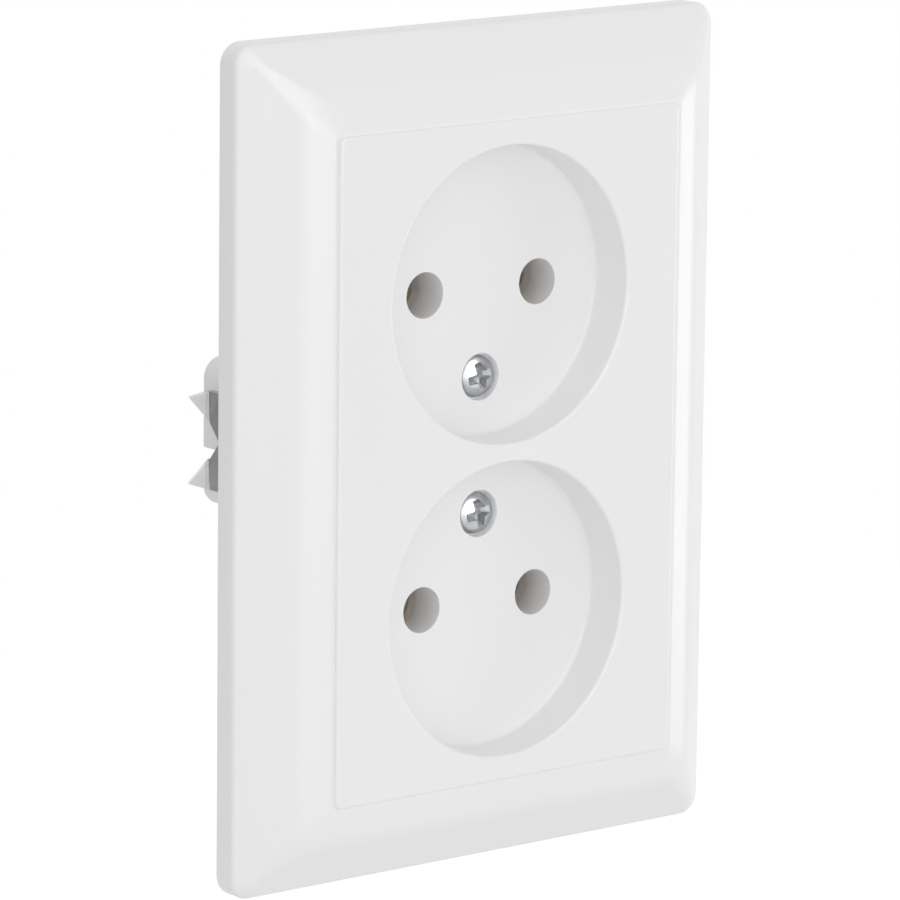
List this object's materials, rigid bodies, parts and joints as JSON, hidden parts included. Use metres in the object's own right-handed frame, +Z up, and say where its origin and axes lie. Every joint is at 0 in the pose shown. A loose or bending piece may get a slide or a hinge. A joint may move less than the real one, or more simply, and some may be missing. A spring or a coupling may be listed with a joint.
{
  "type": "double wall socket",
  "caption": "Double wall socket with two round wells for two-pin plugs, in a bevelled cover frame, with a flush-box insert held by swinging claws.",
  "frame": {"origin": "on the wall's surface, at the centre of the cover and of the flush box", "axes": "+X to the right, +Y into the wall, +Z up"},
  "size_m": [0.08, 0.0353, 0.112],
  "materials": {
    "white_plastic": "moulded, satin gloss",
    "grey_plastic": "moulded, matt",
    "zinc_steel": "zinc plated sheet",
    "bright_zinc": "bright zinc plating",
    "brass": "plain, stamped"
  },
  "bodies": {
    "housing": {"cover_frame": "white_plastic", "socket_panel": "white_plastic", "support_plate": "zinc_steel", "base_body": "grey_plastic", "rear_cover": "grey_plastic", "cover_screw_upper": "bright_zinc", "thread_insert_upper": "brass", "rear_screw_upper": "bright_zinc", "contact_clip_upper_left": "brass", "terminal_screw_upper_left": "bright_zinc", "clamp_plate_upper_left": "zinc_steel", "plate_screw_upper_left": "bright_zinc", "contact_clip_upper_right": "brass", "terminal_screw_upper_right": "bright_zinc", "clamp_plate_upper_right": "zinc_steel", "plate_screw_upper_right": "bright_zinc", "cover_screw_lower": "bright_zinc", "thread_insert_lower": "brass", "rear_screw_lower": "bright_zinc", "contact_clip_lower_left": "brass", "terminal_screw_lower_left": "bright_zinc", "clamp_plate_lower_left": "zinc_steel", "plate_screw_lower_left": "bright_zinc", "contact_clip_lower_right": "brass", "terminal_screw_lower_right": "bright_zinc", "clamp_plate_lower_right": "zinc_steel", "plate_screw_lower_right": "bright_zinc", "busbar_left": "brass", "claw_pin_left": "zinc_steel", "busbar_right": "brass", "claw_pin_right": "zinc_steel"},
    "claw_left": {"claw_left": "zinc_steel"},
    "claw_nut_left": {"claw_nut_left": "zinc_steel"},
    "claw_screw_left": {"claw_screw_left": "bright_zinc"},
    "claw_right": {"claw_right": "zinc_steel"},
    "claw_nut_right": {"claw_nut_right": "zinc_steel"},
    "claw_screw_right": {"claw_screw_right": "bright_zinc"}
  },
  "joints": [
    {"name": "claw_swing_left", "type": "hinge", "parent": "housing", "child": "claw_left", "pos_m": [-0.018, 0.0063, 0], "axis": [0, 0, 1], "range_deg": [0, 14]},
    {"name": "claw_nut_travel_left", "type": "slide", "parent": "housing", "child": "claw_nut_left", "axis": [0, -1, 0], "range_m": [0, 0.0012]},
    {"name": "claw_screw_turn_left", "type": "hinge", "parent": "housing", "child": "claw_screw_left", "pos_m": [-0.0228, 0, 0], "axis": [0, 1, 0], "range_deg": [0, 850]},
    {"name": "claw_swing_right", "type": "hinge", "parent": "housing", "child": "claw_right", "pos_m": [0.018, 0.0063, 0], "axis": [0, 0, -1], "range_deg": [0, 14]},
    {"name": "claw_nut_travel_right", "type": "slide", "parent": "housing", "child": "claw_nut_right", "axis": [0, -1, 0], "range_m": [0, 0.0012]},
    {"name": "claw_screw_turn_right", "type": "hinge", "parent": "housing", "child": "claw_screw_right", "pos_m": [0.0228, 0, 0], "axis": [0, 1, 0], "range_deg": [0, 850]}
  ],
  "couplings": [
    {"joint": "claw_nut_travel_left", "follows": "claw_swing_left", "m_per_rad": 0.0048},
    {"joint": "claw_screw_turn_left", "follows": "claw_swing_left", "ratio": 60.319},
    {"joint": "claw_nut_travel_right", "follows": "claw_swing_right", "m_per_rad": 0.0048},
    {"joint": "claw_screw_turn_right", "follows": "claw_swing_right", "ratio": 60.319}
  ]
}
